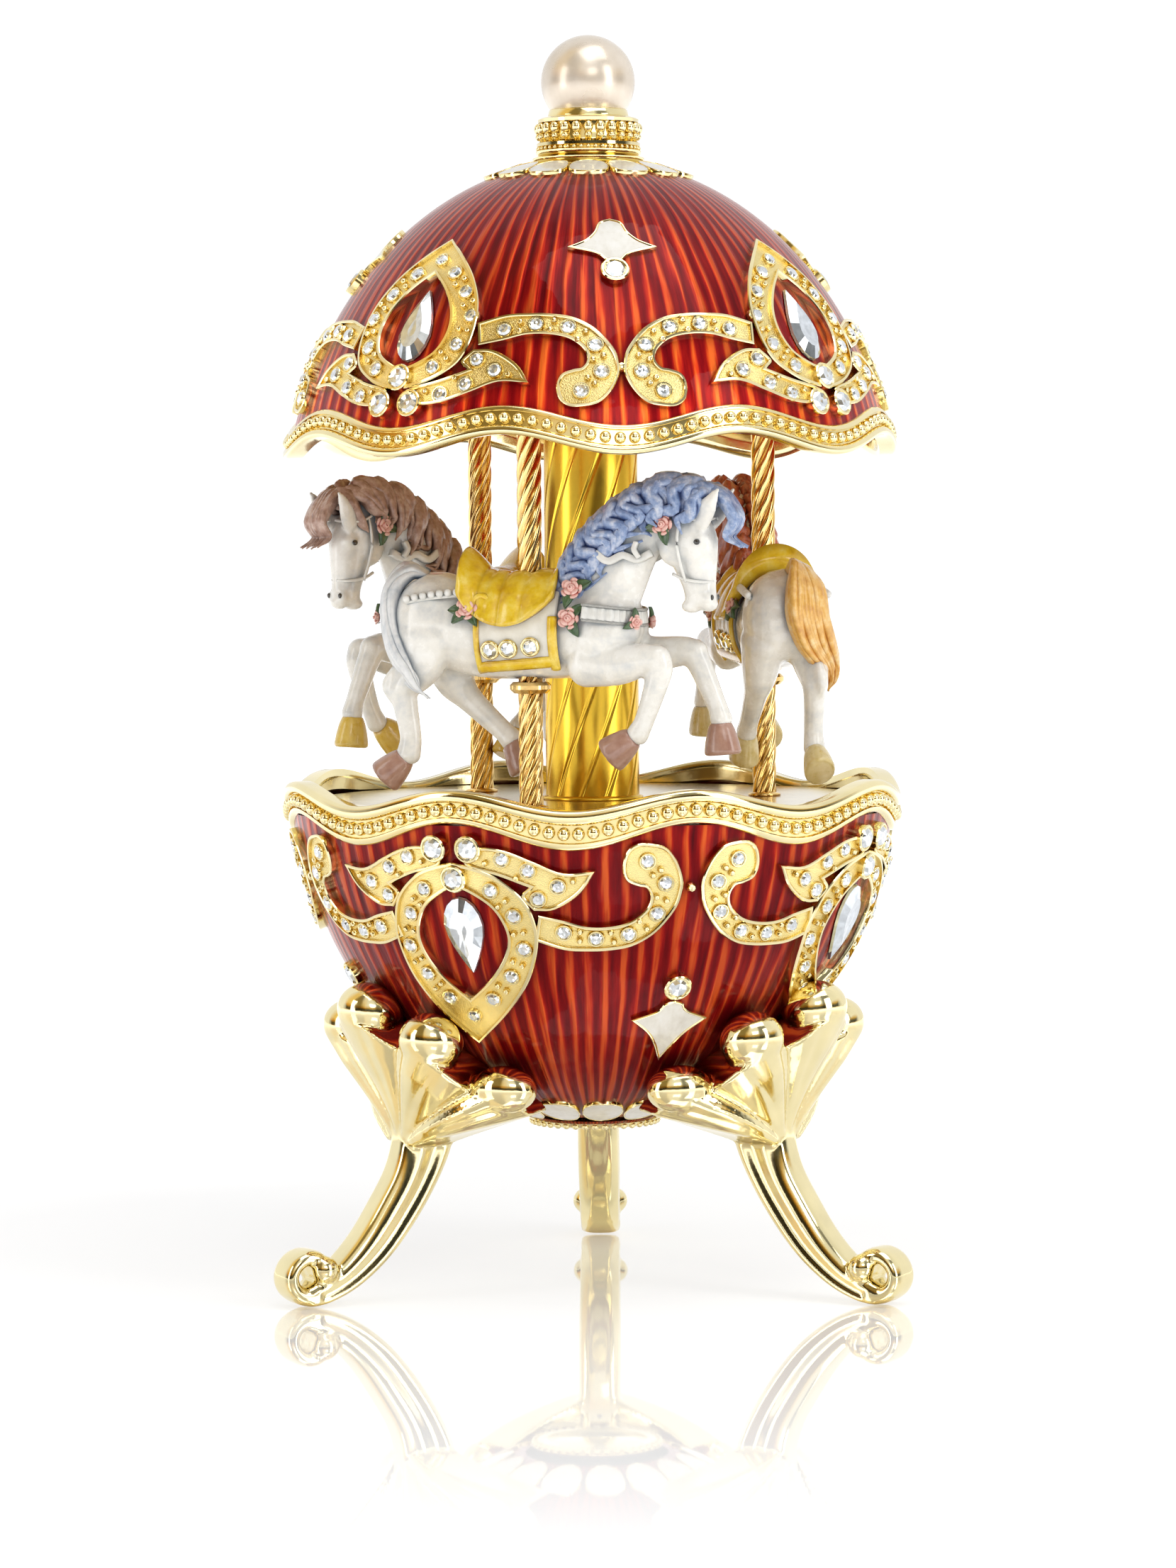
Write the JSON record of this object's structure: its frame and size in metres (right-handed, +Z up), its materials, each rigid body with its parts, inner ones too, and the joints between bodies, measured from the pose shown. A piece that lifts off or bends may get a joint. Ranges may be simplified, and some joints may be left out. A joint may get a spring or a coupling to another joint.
{
  "type": "carousel music box",
  "caption": "Egg-shaped wind-up carousel music box on scrolled legs, with horses on twisted poles turning under a jewelled dome.",
  "frame": {"origin": "on the turning axis, at the level of the table that the feet stand on", "axes": "+Z up along the turning axis, -Y towards the front, +X to the right seen from the front"},
  "size_m": [0.0807, 0.0847, 0.16],
  "materials": {
    "red_enamel": "translucent glossy red enamel over engine-turned stripes",
    "polished_gold": "polished pale gold plating",
    "deep_gold": "polished twisted yellow gold",
    "column_gold": "satin yellow gold with spiral engraving",
    "champagne": "smooth pearly champagne lacquer",
    "brass": "turned brass",
    "steel": "machined steel",
    "spring_steel": "blued spring steel",
    "crystal": "cut foiled glass",
    "white_enamel": "pearly white enamel",
    "horse_enamel": "pearl white enamel with painted details",
    "pearl": "pearl lustre",
    "nylon": "natural nylon"
  },
  "bodies": {
    "base": {"cup_shell": "red_enamel", "cup_rim": "polished_gold", "bottom_cap": "polished_gold", "leg_rear": "polished_gold", "leg_left": "polished_gold", "leg_right": "polished_gold", "cup_crystals": "crystal", "cup_stars": "white_enamel", "cap_nut": "steel", "leg_screws": "steel", "bedplate_screws": "steel", "housing_screws": "steel", "drum_bracket": "steel", "governor_bracket": "steel", "bracket_screws": "steel", "comb": "steel", "comb_screws": "steel", "mainspring": "spring_steel", "bedplate": "brass", "arbor_bush": "brass", "spring_housing": "brass", "comb_base": "brass"},
    "carousel": {"winding_arbor": "steel", "ratchet_wheel": "steel", "tie_rod": "steel", "pole_nuts": "steel", "crown_wheel": "brass", "click": "brass", "canopy_plate": "brass", "turntable": "champagne", "column": "column_gold", "pole_front": "deep_gold", "pole_right": "deep_gold", "pole_rear": "deep_gold", "pole_collars": "deep_gold", "horse_front": "horse_enamel", "horse_right": "horse_enamel", "horse_rear": "horse_enamel", "dome_shell": "red_enamel", "dome_rim": "polished_gold", "finial": "polished_gold", "dome_crystals": "crystal", "dome_stars": "white_enamel", "pearl": "pearl"},
    "drum": {"tune_cylinder": "brass", "drum_pinion": "brass", "drum_wheel": "brass", "drum_arbor": "steel"},
    "layshaft_body": {"layshaft": "steel", "lay_pinion": "brass", "worm_wheel": "nylon"},
    "worm_body": {"governor_worm": "steel", "governor_fan": "brass"}
  },
  "joints": [
    {"name": "carousel_turn", "type": "hinge", "parent": "base", "child": "carousel", "pos_m": [0, 0, 0.0624], "axis": [0, 0, 1], "continuous": true},
    {"name": "drum_turn", "type": "hinge", "parent": "base", "child": "drum", "pos_m": [0, -0.02, 0.048], "axis": [0, -1, 0], "continuous": true},
    {"name": "layshaft_turn", "type": "hinge", "parent": "base", "child": "layshaft_body", "pos_m": [-0.0084, -0.024, 0.048], "axis": [0, -1, 0], "continuous": true},
    {"name": "worm_turn", "type": "hinge", "parent": "base", "child": "worm_body", "pos_m": [-0.0129, -0.0226, 0.048], "axis": [0, 0, 1], "continuous": true}
  ],
  "couplings": [
    {"joint": "drum_turn", "follows": "carousel_turn", "ratio": 4},
    {"joint": "layshaft_turn", "follows": "carousel_turn", "ratio": -12.8},
    {"joint": "worm_turn", "follows": "carousel_turn", "ratio": -204.8}
  ]
}
